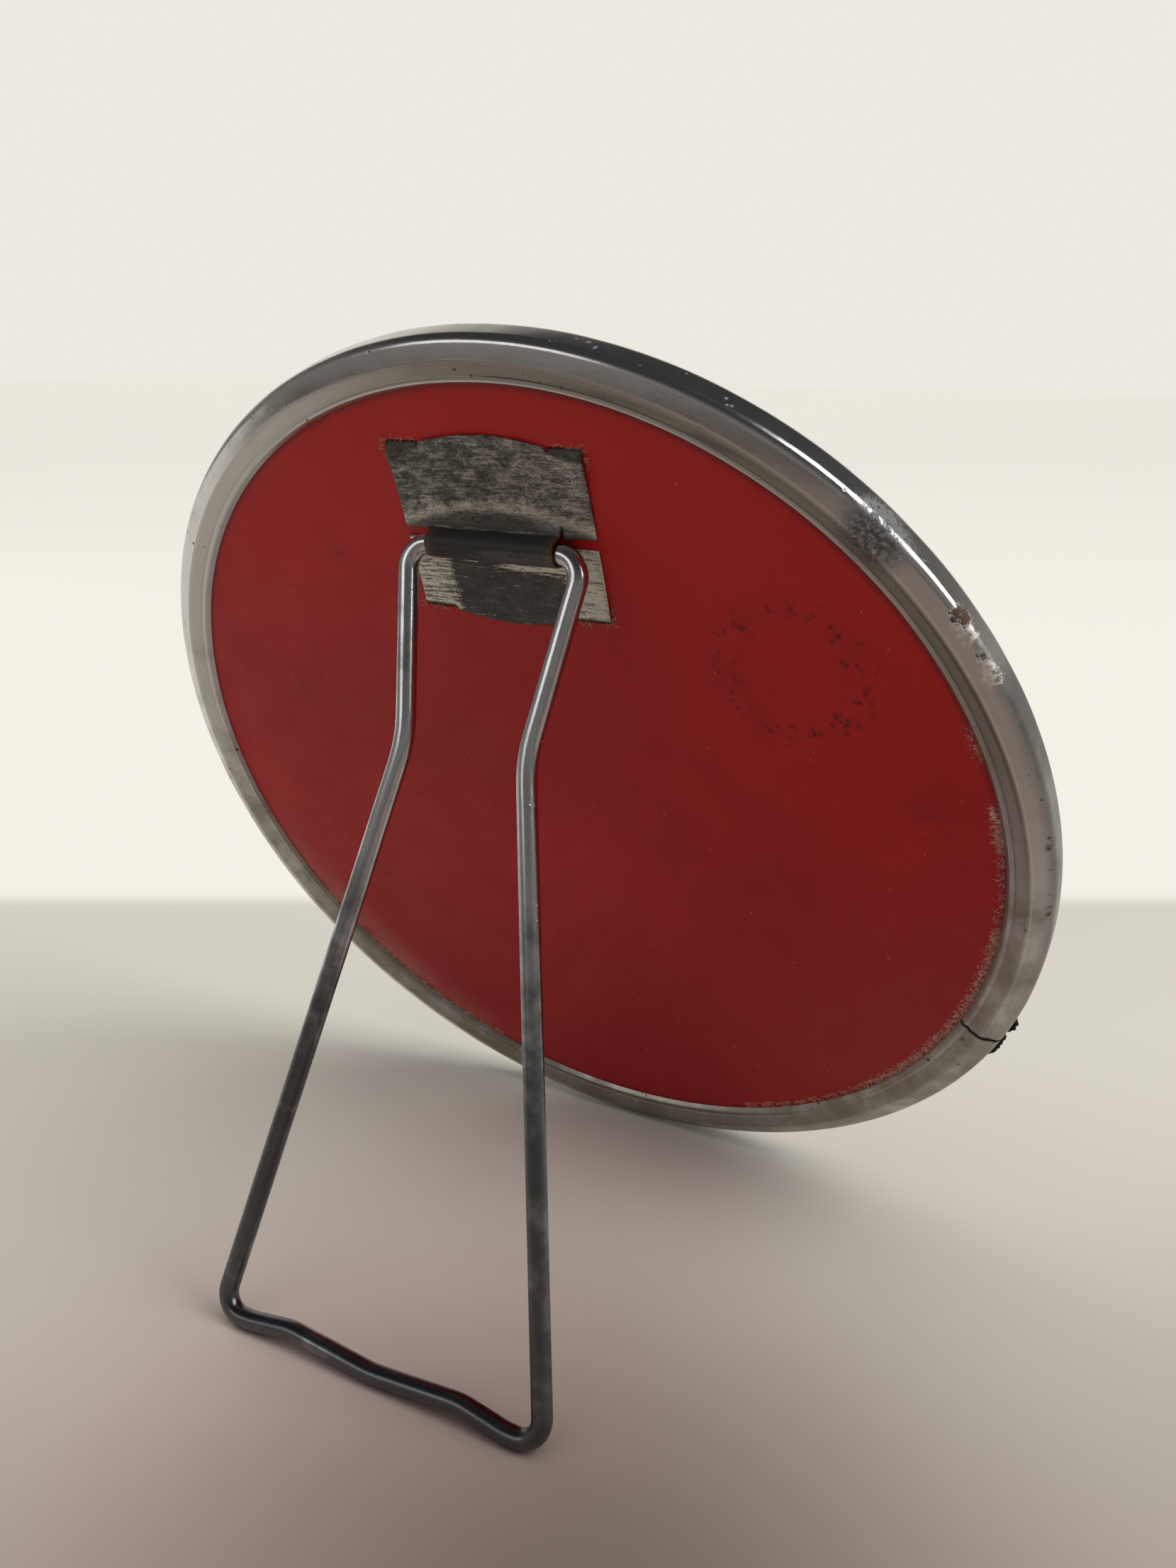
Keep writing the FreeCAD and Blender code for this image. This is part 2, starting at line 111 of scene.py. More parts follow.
class Finish:
    """A material under construction: its node tree, its surface shader and short ways to add nodes."""

    def __init__(self, name):
        self.material = bpy.data.materials.new(name)
        self.material.use_nodes = True
        self.tree = self.material.node_tree
        self.surface = self.tree.nodes["Principled BSDF"]

    def add(self, kind, values=(), **settings):
        """A node with its settings, and its inputs given by position or name as numbers or links."""
        made = self.tree.nodes.new(kind)
        for key, value in settings.items():
            setattr(made, key, value)
        for key, value in dict(values).items():
            self.give(made.inputs[key], value)
        return made

    def give(self, socket, value):
        if isinstance(value, bpy.types.NodeSocket):
            self.tree.links.new(value, socket)
        elif hasattr(socket.default_value, "__len__") and not isinstance(value, (int, float)):
            full = tuple(value)
            socket.default_value = full if len(full) == len(socket.default_value) else full + (1.0,)
        else:
            socket.default_value = value

    def set(self, **values):
        """Set or link the surface shader's own sockets."""
        for key, value in values.items():
            self.give(self.surface.inputs[key.replace("_", " ")], value)

    def math(self, kind, a, b=0.0):
        return self.add("ShaderNodeMath", {0: a, 1: b}, operation=kind).outputs[0]

    def times(self, first, *others):
        for other in others:
            first = self.math("MULTIPLY", first, other)
        return first

    def plus(self, first, *others):
        for other in others:
            first = self.math("ADD", first, other)
        return first

    def minus(self, a, b):
        return self.math("SUBTRACT", a, b)

    def most(self, first, *others):
        """The greatest of its values."""
        for other in others:
            first = self.math("MAXIMUM", first, other)
        return first

    def size(self, a):
        """A value without its sign."""
        return self.math("ABSOLUTE", a)

    def wander(self, pattern, amount):
        """A pattern of 0 to 1 as a swing to either side of nothing."""
        return self.times(self.minus(pattern, 0.5), amount)

    def mix(self, amount, low, high):
        """Colour mix."""
        return self.add("ShaderNodeMix", {0: amount, 6: low, 7: high}, data_type="RGBA").outputs[2]

    def blend(self, amount, low, high):
        """Number mix."""
        return self.add("ShaderNodeMix", {0: amount, 2: low, 3: high}, data_type="FLOAT").outputs[0]

    def step(self, value, low, high, to_low=0.0, to_high=1.0):
        """Smooth step from to_low at low to to_high at high."""
        made = self.add("ShaderNodeMapRange", {0: value, 1: low, 2: high, 3: to_low, 4: to_high},
                        interpolation_type="SMOOTHSTEP")
        return made.outputs[0]

    def noise(self, vector, scale, detail=4.0, rough=0.55, distortion=0.0):
        made = self.add("ShaderNodeTexNoise", {"Vector": vector, "Scale": scale, "Detail": detail,
                                               "Roughness": rough, "Distortion": distortion})
        return made.outputs[0]

    def cells(self, vector, scale):
        """Distance from the middle of the nearest of many scattered cells."""
        return self.add("ShaderNodeTexVoronoi", {"Vector": vector, "Scale": scale}).outputs["Distance"]

    def stretch(self, vector, scale, offset=(0, 0, 0)):
        values = {"Vector": vector, "Scale": scale, "Location": offset}
        return self.add("ShaderNodeMapping", values).outputs[0]

    def bump(self, height, distance, strength=1.0, under=None):
        values = {"Height": height, "Distance": distance, "Strength": strength}
        if under is not None:
            values["Normal"] = under
        return self.add("ShaderNodeBump", values).outputs[0]

    def disc_space(self):
        """Where a point lies on the disc, in millimetres: x across, y up, z through it to the front."""
        place = self.add("ShaderNodeTexCoord").outputs["Object"]
        return self.add("ShaderNodeMapping", {
            "Vector": place, "Location": DISC_CENTRE, "Rotation": (math.pi / 2 - LEAN, 0, 0),
            "Scale": (MM, MM, MM)}, vector_type="TEXTURE").outputs[0]

    def split(self, vector):
        return self.add("ShaderNodeSeparateXYZ", {0: vector}).outputs

    def join(self, x, y, z=0.0):
        return self.add("ShaderNodeCombineXYZ", {0: x, 1: y, 2: z}).outputs[0]

    def spot(self, vector, place, reach, soft=0.4):
        """1 inside a round patch about place, fading to 0 at its reach."""
        away = self.add("ShaderNodeVectorMath", {0: vector, 1: place}, operation="DISTANCE")
        return self.step(away.outputs["Value"], reach, reach * (1 - soft))

    def polar(self, vector):
        """(distance from the disc's axis in mm, angle from +x in radians)"""
        x, y, _ = self.split(vector)
        flat = self.join(x, y)
        radius = self.add("ShaderNodeVectorMath", {0: flat}, operation="LENGTH").outputs["Value"]
        return radius, self.math("ARCTAN2", y, x)


# ---------------------------------------------------------------- materials

def rim_finish():
    """Nickel-plated steel: bright where rubbed, clouded with tarnish, pitted and rusted in places."""
    f = Finish("rim_nickel")
    place = f.disc_space()
    radius, angle = f.polar(place)
    x, y, depth = f.split(place)
    # long streaks that run round the rim
    along = f.join(radius, f.times(angle, 9.0))
    cloud = f.noise(place, 0.16, 6.0, 0.62, 0.3)
    fine = f.noise(place, 1.6, 5.0, 0.65)
    streak = f.noise(along, 1.7, 5.0, 0.6)
    # tarnish is heavier at the bottom, lighter over the top
    low = f.step(y, 48.0, -55.0)
    veil = f.step(f.plus(f.times(cloud, 0.8), f.times(low, 0.34)), 0.42, 0.86)
    speck = f.times(f.step(fine, 0.6, 0.74), f.step(cloud, 0.42, 0.62))
    pits = f.times(f.step(f.cells(place, 0.62), 0.24, 0.12), f.step(f.noise(place, 0.3, 3.0), 0.56, 0.66))
    rust = f.spot(place, (-63.4, 41.8, 0.2), 4.4, 1.0)
    rust = f.most(rust, f.spot(place, (-66.2, 37.0, -0.9), 3.0, 1.0))
    rust = f.step(f.plus(f.times(rust, 0.62), f.noise(place, 1.1, 6.0, 0.8)), 0.93, 1.03)
    # plating chipped off in small flakes along the outer shoulder
    worn = f.spot(place, (-64.4, 40.0, -1.2), 5.2, 0.9)
    worn = f.most(worn, f.spot(place, (-67.2, 34.6, -1.2), 5.4, 0.9))
    flake = f.noise(place, 1.5, 6.0, 0.8)
    shoulder = f.step(f.plus(radius, f.wander(flake, 3.0)), 74.0, 74.8)
    chips = f.step(f.plus(f.times(worn, 0.30), flake), 0.72, 0.80)
    worn = f.times(chips, f.step(worn, 0.0, 0.2), shoulder)
    # small dark spots down the outer wall
    spots = f.spot(place, (-74.8, 8.4, -0.3), 0.9, 0.8)
    for spot_y, reach in ((4.6, 0.5), (0.2, 0.45), (-2.2, 0.65), (-3.4, 0.7), (-8.2, 0.45)):
        edge_x = -math.sqrt(DISC_RADIUS ** 2 - spot_y ** 2) + 0.9
        spots = f.most(spots, f.spot(place, (edge_x, spot_y, -0.2), reach, 0.8))
    spots = f.times(spots, f.step(fine, 0.40, 0.55))
    # dirt and solder stain along the butted seam
    ragged = f.wander(f.noise(place, 0.8, 4.0), 1.1)
    seam_away = f.times(f.plus(angle, math.tau - SEAM_ANGLE), radius)
    seam_away = f.size(f.plus(seam_away, ragged))
    seam_stain = f.times(f.step(seam_away, 0.50, 0.16), 0.9)
    marks = f.most(pits, spots, rust, seam_stain)
    metal = f.mix(veil, (0.54, 0.53, 0.52), (0.27, 0.245, 0.21))
    metal = f.mix(f.times(speck, 0.35), metal, (0.16, 0.14, 0.12))
    # painted dark reflection: the inner slope is darker over the top; one dull patch breaks the polish of
    # the upper right
    slope_dark_reflection = f.times(f.step(radius, 73.0, 72.4), f.step(radius, 70.3, 70.8))
    slope_dark_reflection = f.times(slope_dark_reflection, f.step(y, -28.0, 34.0), f.step(x, 45.0, -5.0))
    metal = f.mix(f.times(slope_dark_reflection, 0.8), metal, (0.15, 0.135, 0.105))
    # painted highlight: a thin light line along the crest's crease, over the upper part
    line = f.times(f.step(f.size(f.minus(radius, 73.1)), 0.18, 0.05), f.step(y, -45.0, 30.0))
    metal = f.mix(f.times(line, 0.5), metal, (0.80, 0.78, 0.73))
    dull = f.times(f.spot(place, (-53.6, 52.6, -1.0), 6.5, 0.7), f.step(flake, 0.34, 0.56))
    metal = f.mix(f.times(dull, 0.9), metal, (0.095, 0.10, 0.11))
    # the outer wall is darker, duller and less metallic down the -x side
    darkening = f.times(f.step(depth, -0.9, 0.1), f.step(x, -35.0, -60.0))
    darkening = f.times(darkening, f.step(y, 44.0, 30.0))
    darkening = f.times(darkening, f.step(f.minus(cloud, f.times(y, 0.006)), 0.20, 0.75, 1.0, 0.35))
    metal = f.mix(f.times(darkening, 0.9), metal, (0.075, 0.066, 0.062))
    metal = f.mix(f.times(worn, 0.85), metal, (0.82, 0.79, 0.74))
    colour = f.mix(marks, metal, f.mix(fine, (0.13, 0.060, 0.028), (0.035, 0.024, 0.018)))
    colour = f.mix(seam_stain, colour, (0.035, 0.028, 0.020))
    polish = f.blend(veil, 0.17, 0.36)
    polish = f.plus(polish, f.wander(streak, 0.16))
    polish = f.plus(polish, f.times(f.most(worn, darkening), 0.32))
    polish = f.plus(polish, f.times(dull, 0.5))
    dents = f.bump(f.noise(place, 0.09, 2.0, 0.5), 0.00025, 0.6)
    skin = f.bump(f.minus(f.times(fine, 0.3), marks), 0.00006, 0.7, dents)
    covered = f.most(marks, f.times(darkening, 0.7))
    f.set(Base_Color=colour, Metallic=f.minus(1.0, f.times(covered, 0.85)),
          Roughness=f.blend(marks, polish, 0.75), Normal=skin)
    return f.material


def wire_finish():
    """Bright drawn steel: polished up high, with small pits; its darker, bluer colour lower down is painted
    shade.
    """
    f = Finish("stand_wire")
    place = f.add("ShaderNodeTexCoord").outputs["Object"]
    grain = f.noise(f.stretch(place, (9000, 9000, 260)), 1.0, 4.0, 0.6)
    cloud = f.noise(place, 140.0, 5.0, 0.6, 0.2)
    fine = f.noise(place, 1500.0, 4.0, 0.6)
    # painted shade: the lower part of the wire is painted darker and bluer
    low = f.step(f.split(place)[2], 0.085, 0.035)
    dull = f.step(f.plus(f.times(cloud, 0.7), f.times(low, 0.30)), 0.36, 0.66)
    flecks = f.step(f.noise(place, 210.0, 2.0), 0.60, 0.70)
    flecks = f.times(f.step(f.cells(place, 900.0), 0.20, 0.10), flecks)
    colour = f.mix(dull, (0.50, 0.505, 0.53), (0.115, 0.12, 0.128))
    colour = f.mix(flecks, colour, (0.05, 0.035, 0.03))
    polish = f.plus(f.blend(dull, 0.17, 0.28), f.wander(grain, 0.12))
    skin = f.bump(f.plus(grain, f.times(fine, 0.5)), 0.00002, 0.35)
    skin = f.bump(flecks, -0.00005, 0.8, skin)
    f.set(Base_Color=colour, Metallic=f.minus(1.0, f.times(flecks, 0.8)),
          Roughness=f.blend(flecks, polish, 0.7), Normal=skin)
    return f.material


def plate_finish():
    """Worn tinplate: dark bare steel with mottled tin left on it, rubbed across in fine lines."""
    f = Finish("tinplate")
    place = f.add("ShaderNodeVectorMath", {0: f.disc_space(), 1: (HINGE_X, HINGE_Y, 0)},
                  operation="SUBTRACT").outputs[0]
    x, y, out = f.split(place)
    side = f.size(x)
    rubbed = f.noise(f.stretch(place, (0.32, 3.4, 3.0)), 1.0, 6.0, 0.7)
    blotch = f.noise(f.stretch(place, (0.8, 1.3, 1.0)), 0.42, 7.0, 0.75, 0.4)
    grit = f.noise(f.stretch(place, (1.2, 2.3, 2.2)), 1.7, 5.0, 0.8)
    tin = f.plus(f.times(blotch, 0.40), f.times(rubbed, 0.38), f.times(grit, 0.44))
    # painted shade darkens a swept hollow above the barrel, with a painted highlight in a bright band along
    # its top
    hollow_top = f.minus(4.7, f.times(x, x, 0.012))
    above = f.minus(y, f.plus(hollow_top, f.wander(blotch, 2.0)))
    band = f.times(f.step(above, 2.6, 0.6), f.step(above, -0.8, 0.6))
    tin = f.plus(tin, f.times(band, 0.10))
    tin = f.plus(tin, f.step(x, 4.0, -15.0, 0.0, 0.04))
    upper = f.times(f.step(tin, 0.55, 0.83), f.step(above, -1.7, 0.6, 0.06, 1.0))
    # tin has stayed bright at both ends of the lower leaf and along the foot of the barrel
    ends = f.step(f.plus(side, f.times(f.plus(grit, rubbed), 4.5)), 13.4, 14.8)
    strip = f.times(f.step(y, -5.3, -3.8), f.step(x, 4.0, -1.0, 0.3, 1.0))
    wear = f.plus(f.times(grit, 0.7), f.times(rubbed, 1.3))
    strip = f.step(f.plus(wear, f.times(strip, 0.30)), 1.17, 1.27)
    ragged = f.step(f.minus(wear, f.step(x, -5.0, 5.0, 0.0, 0.07)), 0.83, 0.97)
    lower = f.most(f.times(ends, f.plus(0.12, f.times(ragged, 0.88))), strip)
    lower = f.most(lower, f.times(upper, 0.18))
    tinned = f.blend(f.step(y, 0.5, 1.0), lower, upper)
    # the raised barrel and the folded edges are darkest
    raised = f.step(f.times(out, -1.0), 0.7, 1.3)
    roll = f.minus(13.7, f.times(f.minus(side, 10.2), 0.18))
    folds = f.times(f.step(f.minus(y, roll), -0.25, 0.2), f.step(side, 9.9, 10.5))
    foot = f.times(f.step(y, -10.7, -11.2), f.step(side, 10.2, 10.8))
    folds = f.most(folds, foot)
    shade = f.most(raised, folds)
    tinned = f.times(tinned, f.minus(1.0, f.times(shade, 0.92)))
    # painted highlight: a thin bright line along the crease on the barrel's upper side
    crease_highlight = f.times(f.step(f.size(f.minus(y, 2.3)), 0.16, 0.06), f.step(out, -1.6, -1.3))
    tinned = f.most(tinned, f.times(crease_highlight, f.step(rubbed, 0.45, 0.7, 0.0, 0.6)))
    bare = f.mix(f.step(blotch, 0.4, 0.62), (0.060, 0.055, 0.050), (0.095, 0.090, 0.082))
    rusty = f.times(raised, f.step(f.plus(side, f.times(grit, 3.0)), 10.6, 12.0))
    bare = f.mix(raised, bare, (0.040, 0.041, 0.039))
    bare = f.mix(rusty, bare, (0.12, 0.055, 0.028))
    colour = f.mix(tinned, bare, f.mix(grit, (0.52, 0.51, 0.45), (0.80, 0.78, 0.70)))
    skin = f.bump(f.plus(grit, f.times(rubbed, 0.6)), 0.00006, 0.7)
    f.set(Base_Color=colour, Metallic=f.blend(tinned, 0.55, 0.85), Roughness=f.blend(tinned, 0.50, 0.36),
          Normal=skin)
    return f.material


def paper_finish():
    """Deep red coated paper: satin, finely fibred, with dark ink stipple, pale rubs and scuffed edges."""
    f = Finish("red_paper")
    place = f.disc_space()
    x, y, _ = f.split(place)
    radius, angle = f.polar(place)
    broad = f.noise(place, 0.022, 3.0, 0.5)
    cloud = f.noise(place, 0.12, 5.0, 0.6)
    weave = f.noise(f.stretch(place, (1.6, 5.0, 3.0)), 1.0, 6.0, 0.7)
    colour = f.mix(f.step(broad, 0.3, 0.7), (0.40, 0.0105, 0.0115), (0.49, 0.0145, 0.0145))
    colour = f.mix(f.times(f.step(cloud, 0.35, 0.75), 0.35), colour, (0.35, 0.0105, 0.0115))
    # painted light and shade: the top is painted a little lighter and the bottom darker, as the light falls
    colour = f.mix(f.step(y, 5.0, 60.0, 0.0, 0.6), colour, (0.60, 0.024, 0.023))
    colour = f.mix(f.step(y, 0.0, -60.0, 0.0, 0.45), colour, (0.25, 0.0080, 0.0085))
    # stipple of dark ink where a stamp has faded
    dots = f.step(f.cells(place, 0.85), 0.46, 0.28)
    stamp = f.spot(place, (-41.0, 30.0, 0), 14.0, 0.35)
    stamp = f.minus(stamp, f.spot(place, (-40.5, 30.0, 0), 9.0, 0.35))
    for spot_x, spot_y, reach in (
            (-58.5, 8.4, 5.2), (31.3, 42.8, 2.8), (47.8, 14.6, 3.2), (38.9, -32.5, 2.6), (43.8, -25.0, 3.4)):
        stamp = f.most(stamp, f.spot(place, (spot_x, spot_y, 0), reach, 0.9))
    patchy = f.step(f.noise(place, 0.28, 3.0), 0.43, 0.56)
    ink = f.times(stamp, dots, patchy)
    smudge = f.times(stamp, f.step(cloud, 0.4, 0.7), 0.22)
    ink = f.most(f.times(ink, 0.66), smudge)
    colour = f.mix(ink, colour, (0.045, 0.010, 0.012))
    # rubbed through to the pale stock beside the rim, mostly low on the -x side
    flank = 0.0
    for low, high, weight in ((5.0, 14.0, 1.0), (20.0, 26.0, 0.8), (-50.0, -8.0, 0.9), (-66.0, -46.0, 0.5)):
        stretch = f.times(f.step(y, low - 2.5, low + 2.0), f.step(y, high + 2.5, high - 2.0))
        flank = f.most(flank, f.times(stretch, weight))
    flank = f.times(flank, f.step(x, 5.0, -35.0))
    near_rim = f.step(radius, 66.2, 68.9)
    torn = f.noise(f.join(f.times(radius, 1.5), f.times(angle, 150.0)), 1.0, 6.0, 0.8)
    bite = f.times(near_rim, flank)
    scuff = f.step(f.plus(torn, f.times(bite, 0.24)), 0.67, 0.80)
    scuff = f.times(scuff, f.step(bite, 0.0, 0.35))
    rim_line = f.times(f.step(radius, 67.2, 69.3), f.step(torn, 0.54, 0.74))
    low_left = f.times(f.step(x, 15.0, 50.0), f.step(y, -10.0, -40.0))
    scuff = f.most(scuff, f.times(rim_line, f.plus(0.12, f.times(low_left, 0.6))))
    rub = f.times(low_left, f.step(radius, 61.0, 69.0), f.step(cloud, 0.25, 0.7, 0.06, 0.30))
    scuff = f.most(scuff, rub)
    colour = f.mix(f.times(scuff, 0.95), colour, (0.80, 0.56, 0.47))
    # small pale fibres and dust
    fleck = f.step(f.cells(f.stretch(place, (1.0, 0.45, 1.0)), 0.34), 0.055, 0.028)
    colour = f.mix(f.times(fleck, 0.45), colour, (0.55, 0.30, 0.24))
    # dirt and painted shade darken the line under the rim's lip
    darkening = f.step(radius, 68.3, 69.6)
    colour = f.mix(f.times(darkening, 0.55), colour, (0.03, 0.008, 0.008))
    skin = f.bump(weave, 0.00005, 0.45)
    skin = f.bump(f.plus(scuff, f.times(cloud, 0.6)), 0.00008, 0.5, skin)
    rough = f.plus(f.blend(f.step(cloud, 0.3, 0.7), 0.40, 0.52), f.times(scuff, 0.3))
    f.set(Base_Color=colour, Roughness=rough, Normal=skin, Specular_IOR_Level=0.28)
    return f.material


def board_finish():
    """Grey strawboard, seen only at its edges and inside its slots."""
    f = Finish("strawboard")
    place = f.disc_space()
    straw = f.noise(f.stretch(place, (0.8, 0.8, 6.0)), 1.6, 6.0, 0.7)
    fleck = f.step(f.cells(place, 1.2), 0.16, 0.08)
    colour = f.mix(straw, (0.24, 0.20, 0.15), (0.42, 0.36, 0.27))
    colour = f.mix(f.times(fleck, 0.6), colour, (0.12, 0.09, 0.06))
    f.set(Base_Color=colour, Roughness=f.blend(straw, 0.8, 0.95), Normal=f.bump(straw, 0.00008, 0.6))
    return f.material


def card_finish():
    """Printed card behind the glass: plain ornament of rings, a scalloped border and a petalled rosette."""
    f = Finish("printed_card")
    place = f.disc_space()
    radius, angle = f.polar(place)
    tone = f.noise(place, 0.05, 4.0, 0.6)
    grain = f.noise(place, 2.2, 4.0, 0.7)
    cream = f.mix(tone, (0.60, 0.50, 0.33), (0.72, 0.63, 0.45))
    red, gold, green = (0.34, 0.022, 0.020), (0.50, 0.32, 0.09), (0.030, 0.085, 0.050)
    beads, bead_ring = 48, 65.4

    def wave(count, phase=0.0):
        return f.math("COSINE", f.plus(f.times(angle, float(count)), phase))

    def inside(edge, soft=0.18):
        return f.step(f.minus(radius, edge), soft, -soft)

    def band(low, high):
        return f.times(inside(high), f.minus(1.0, inside(low)))

    colour = f.mix(band(61.5, 80.0), cream, red)
    colour = f.mix(band(60.3, 61.5), colour, gold)
    colour = f.mix(band(58.9, 59.4), colour, green)
    # scalloped inner border
    scallop = f.plus(54.6, f.times(f.size(wave(18)), 2.6))
    rim_of = f.size(f.minus(radius, scallop))
    colour = f.mix(f.step(rim_of, 0.75, 0.5), colour, green)
    # beads in the red band
    bead_turn = f.math("PINGPONG", f.times(angle, beads / math.tau), 0.5)
    bead_x = f.times(bead_turn, math.tau * bead_ring / beads)
    bead_y = f.minus(radius, bead_ring)
    away = f.math("SQRT", f.plus(f.times(bead_x, bead_x), f.times(bead_y, bead_y)))
    colour = f.mix(f.step(away, 1.35, 1.1), colour, gold)
    # sun rays round the rosette
    rays = f.times(f.step(wave(36), -0.15, 0.15), band(33.0, 50.0))
    colour = f.mix(f.times(rays, 0.55), colour, (0.62, 0.40, 0.16))
    colour = f.mix(band(50.0, 50.7), colour, red)
    colour = f.mix(band(32.0, 33.0), colour, red)
    # rosette: two rows of petals and a middle
    outer = f.plus(20.0, f.times(f.size(wave(4)), 9.5))
    inner = f.plus(9.5, f.times(f.size(wave(4, math.pi / 2)), 7.0))
    colour = f.mix(inside(outer), colour, red)
    colour = f.mix(inside(f.minus(outer, 1.3)), colour, (0.56, 0.05, 0.035))
    colour = f.mix(inside(inner), colour, green)
    colour = f.mix(inside(f.minus(inner, 1.0)), colour, gold)
    colour = f.mix(inside(5.4), colour, cream)
    colour = f.mix(inside(3.6), colour, red)
    colour = f.mix(f.times(f.step(tone, 0.56, 0.74), 0.22), colour, (0.36, 0.25, 0.13))
    f.set(Base_Color=colour, Roughness=f.blend(grain, 0.45, 0.6), Normal=f.bump(grain, 0.00003, 0.4))
    return f.material


def glass_finish():
    """Clear flat glass with a trace of dust and wiping marks."""
    f = Finish("face_glass")
    place = f.disc_space()
    smear = f.noise(f.stretch(place, (0.05, 0.22, 0.1), (3, 1, 0)), 1.0, 5.0, 0.6, 0.6)
    dust = f.step(f.cells(place, 0.5), 0.05, 0.02)
    rough = f.plus(f.step(smear, 0.45, 0.75, 0.0, 0.05), f.times(dust, 0.3))
    f.set(Base_Color=f.mix(smear, (0.93, 0.97, 0.96), (0.98, 0.99, 0.985)), Roughness=rough,
          Transmission_Weight=1.0, IOR=1.5, Normal=f.bump(smear, 0.00002, 0.2))
    return f.material


def fibre_finish():
    """Loose paper fibre, pale with a red cast."""
    f = Finish("paper_fibre")
    place = f.disc_space()
    tone = f.noise(place, 0.9, 2.0)
    f.set(Base_Color=f.mix(tone, (0.40, 0.13, 0.09), (0.80, 0.58, 0.42)), Roughness=f.blend(tone, 0.8, 0.95))
    return f.material


def tag_finish():
    """Torn, blackened sheet edge at the seam."""
    f = Finish("torn_tag")
    place = f.disc_space()
    tone = f.noise(place, 1.9, 5.0, 0.7)
    f.set(Base_Color=f.mix(tone, (0.010, 0.008, 0.006), (0.050, 0.042, 0.030)),
          Metallic=f.blend(tone, 0.1, 0.4), Roughness=f.blend(tone, 0.85, 0.65),
          Normal=f.bump(tone, 0.0002, 0.8))
    return f.material


def floor_finish():
    """Pale paper with painted shade underfoot and towards the camera, lit brighter where it sweeps up behind
    the object.
    """
    f = Finish("pale_floor")
    place = f.add("ShaderNodeTexCoord").outputs["Object"]
    along = f.add("ShaderNodeVectorMath", {0: place, 1: HEADING}, operation="DOT_PRODUCT").outputs["Value"]
    tone = f.noise(place, 6.0, 3.0)
    pale = f.mix(tone, (0.60, 0.58, 0.53), (0.63, 0.61, 0.56))
    # painted shadow: darker towards the camera
    near = f.step(along, 0.07, -0.14)
    # painted red bounce light thrown down by the paper, and a painted pool of shade behind the disc
    painted_red_bounce = f.spot(place, (-0.012, 0.060, 0), 0.080, 0.95)
    pale = f.mix(f.times(painted_red_bounce, 0.75), pale, (0.48, 0.32, 0.315))
    pale = f.mix(near, pale, (0.27, 0.225, 0.195))
    shade = f.spot(place, (-0.046, 0.064, 0), 0.085, 1.0)
    pale = f.mix(f.times(shade, 0.85), pale, (0.11, 0.085, 0.07))
    backdrop = f.step(along, BACKDROP_START, BACKDROP_START + BACKDROP_BLEND)
    f.set(Base_Color=f.mix(backdrop, pale, (0.02, 0.02, 0.02)), Roughness=f.blend(tone, 0.75, 0.85))
    glow = f.mix(f.step(along, 0.25, 1.4), (0.86, 0.83, 0.755), (0.785, 0.755, 0.685))
    f.set(Emission_Color=f.mix(backdrop, (0.0, 0.0, 0.0), glow), Emission_Strength=1.0)
    return f.material


# ---------------------------------------------------------------- mesh helpers

def round_corners(corners, closed=False):
    """Points along straight runs whose corners (x, y, radius) are rounded; a radius of 0 stays sharp."""
    step_angle = math.radians(6)
    spots = [Vector((x, y)) for x, y, _ in corners]
    count = len(spots)
    points = []
    for i, (_, _, radius) in enumerate(corners):
        if radius == 0 or (not closed and i in (0, count - 1)):
            points.append(spots[i])
            continue
        before = (spots[i - 1] - spots[i]).normalized()
        after = (spots[(i + 1) % count] - spots[i]).normalized()
        half = before.angle(after) / 2
        centre = spots[i] + (before + after).normalized() * (radius / math.sin(half))
        start = spots[i] + before * (radius / math.tan(half)) - centre
        turn = start.angle_signed(spots[i] + after * (radius / math.tan(half)) - centre)
        parts = max(2, math.ceil(abs(turn) / step_angle))
        for k in range(parts + 1):
            turned = start.copy()
            turned.rotate(Matrix.Rotation(-turn * k / parts, 2))
            points.append(centre + turned)
    return points


def link_object(name, data):
    made = bpy.data.objects.new(name, data)
    bpy.context.scene.collection.objects.link(made)
    return made


def curve_object(name, points, cyclic):
    """A straight-run curve through points given in three numbers, used as a path or a section."""
    data = bpy.data.curves.new(name, "CURVE")
    data.dimensions = "3D"
    spline = data.splines.new("POLY")
    spline.points.add(len(points) - 1)
    for held, point in zip(spline.points, points):
        held.co = (*point, 1.0)
    spline.use_cyclic_u = cyclic
    return link_object(name, data)


def smooth(share):
    """0 to 1 with an easy start and end."""
    share = min(1.0, max(0.0, share))
    return share * share * (3 - 2 * share)


def mesh_from(bm, name):
    """A plain mesh from a worked one, which is then let go."""
    mesh = bpy.data.meshes.new(name)
    bm.to_mesh(mesh)
    bm.free()
    return mesh


def grid_faces(bm, rows):
    """Faces between rows of as many corners each."""
    for low, high in zip(rows, rows[1:]):
        for a, b, c, d in zip(low, low[1:], high[1:], high):
            bm.faces.new((a, b, c, d))


def mesh_object(name, mesh, material, place, smooth_angle=math.radians(32)):
    """An object for a finished mesh, with its place in the mesh and creases kept where it turns sharply."""
    mesh.transform(place)
    mesh.materials.clear()
    mesh.materials.append(material)
    mesh.shade_smooth()
    mesh.set_sharp_from_angle(angle=smooth_angle)
    return link_object(name, mesh)


def thicken(made, sheet, offset):
    """Give a bare surface its sheet, in mm."""
    thick = made.modifiers.new("sheet", "SOLIDIFY")
    thick.thickness = sheet * MM
    thick.offset = offset
    return made


